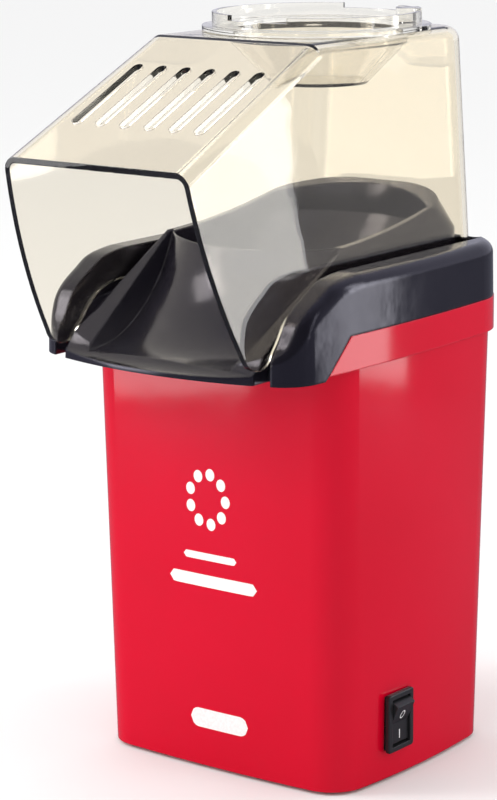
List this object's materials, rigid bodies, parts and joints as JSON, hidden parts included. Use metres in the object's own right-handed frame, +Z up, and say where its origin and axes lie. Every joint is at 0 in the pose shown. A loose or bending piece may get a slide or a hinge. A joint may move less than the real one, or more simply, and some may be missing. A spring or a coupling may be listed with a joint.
{
  "type": "popcorn maker",
  "caption": "Slim hot-air popcorn maker: red housing with a side rocker switch, black chute cover, clear lift-off hood with a forward spout, clear measuring cup on top",
  "frame": {"origin": "on the worktop, under the middle of the appliance's overall plan", "axes": "+Z up, the spout points along -Y, the rocker switch is on the +X side"},
  "size_m": [0.1169, 0.1676, 0.262],
  "materials": {
    "red_gloss": "gloss",
    "black_gloss": "gloss",
    "black_matte": "matte",
    "switch_black": "satin",
    "rubber": "matte",
    "seal": "matte",
    "steel": "satin",
    "motor_zinc": "satin",
    "magnet": "matte",
    "chamber_aluminium": "satin",
    "mica": "satin",
    "heating_wire": "satin",
    "thermostat_body": "satin",
    "bush_brass": "satin",
    "terminal_brass": "satin",
    "board": "matte",
    "fan_plastic": "satin",
    "clear_amber": "clear",
    "clear_cup": "clear"
  },
  "bodies": {
    "base": {"housing": "red_gloss", "base_cover": "black_matte", "base_screws": "steel", "foot_front_left": "rubber", "foot_front_right": "rubber", "foot_rear_left": "rubber", "foot_rear_right": "rubber", "top_cover": "black_gloss", "cover_screws": "steel", "popping_chamber": "chamber_aluminium", "chamber_seal": "seal", "heater_shroud": "steel", "clamp_screws": "steel", "shroud_screws": "steel", "mica_board_a": "mica", "mica_board_b": "mica", "heating_coil": "heating_wire", "thermostat": "thermostat_body", "thermal_fuse": "steel", "fan_housing": "black_matte", "motor_can": "motor_zinc", "motor_end_cap": "black_matte", "motor_bushes": "bush_brass", "motor_magnets": "magnet", "motor_screws": "steel", "rectifier_board": "board", "rectifier_diodes": "black_matte", "switch_body": "switch_black", "switch_terminals": "terminal_brass", "cord_gland": "black_matte"},
    "hood": {"hood": "clear_amber"},
    "cup": {"measuring_cup": "clear_cup"},
    "rocker": {"switch_rocker": "switch_black"},
    "fan": {"fan_impeller": "fan_plastic", "motor_shaft": "steel", "motor_rotor": "magnet"}
  },
  "joints": [
    {"name": "hood_lift", "type": "slide", "parent": "base", "child": "hood", "axis": [0, 0, 1], "range_m": [0, 0.075]},
    {"name": "cup_lift", "type": "slide", "parent": "hood", "child": "cup", "axis": [0, 0, 1], "range_m": [0, 0.045]},
    {"name": "switch_rock", "type": "hinge", "parent": "base", "child": "rocker", "pos_m": [0.0539, 0.0079, 0.0211], "axis": [0, 1, 0], "range_deg": [-24, 0]},
    {"name": "fan_spin", "type": "hinge", "parent": "base", "child": "fan", "pos_m": [0, 0.026, 0.07], "axis": [0, 0, 1], "continuous": true}
  ]
}
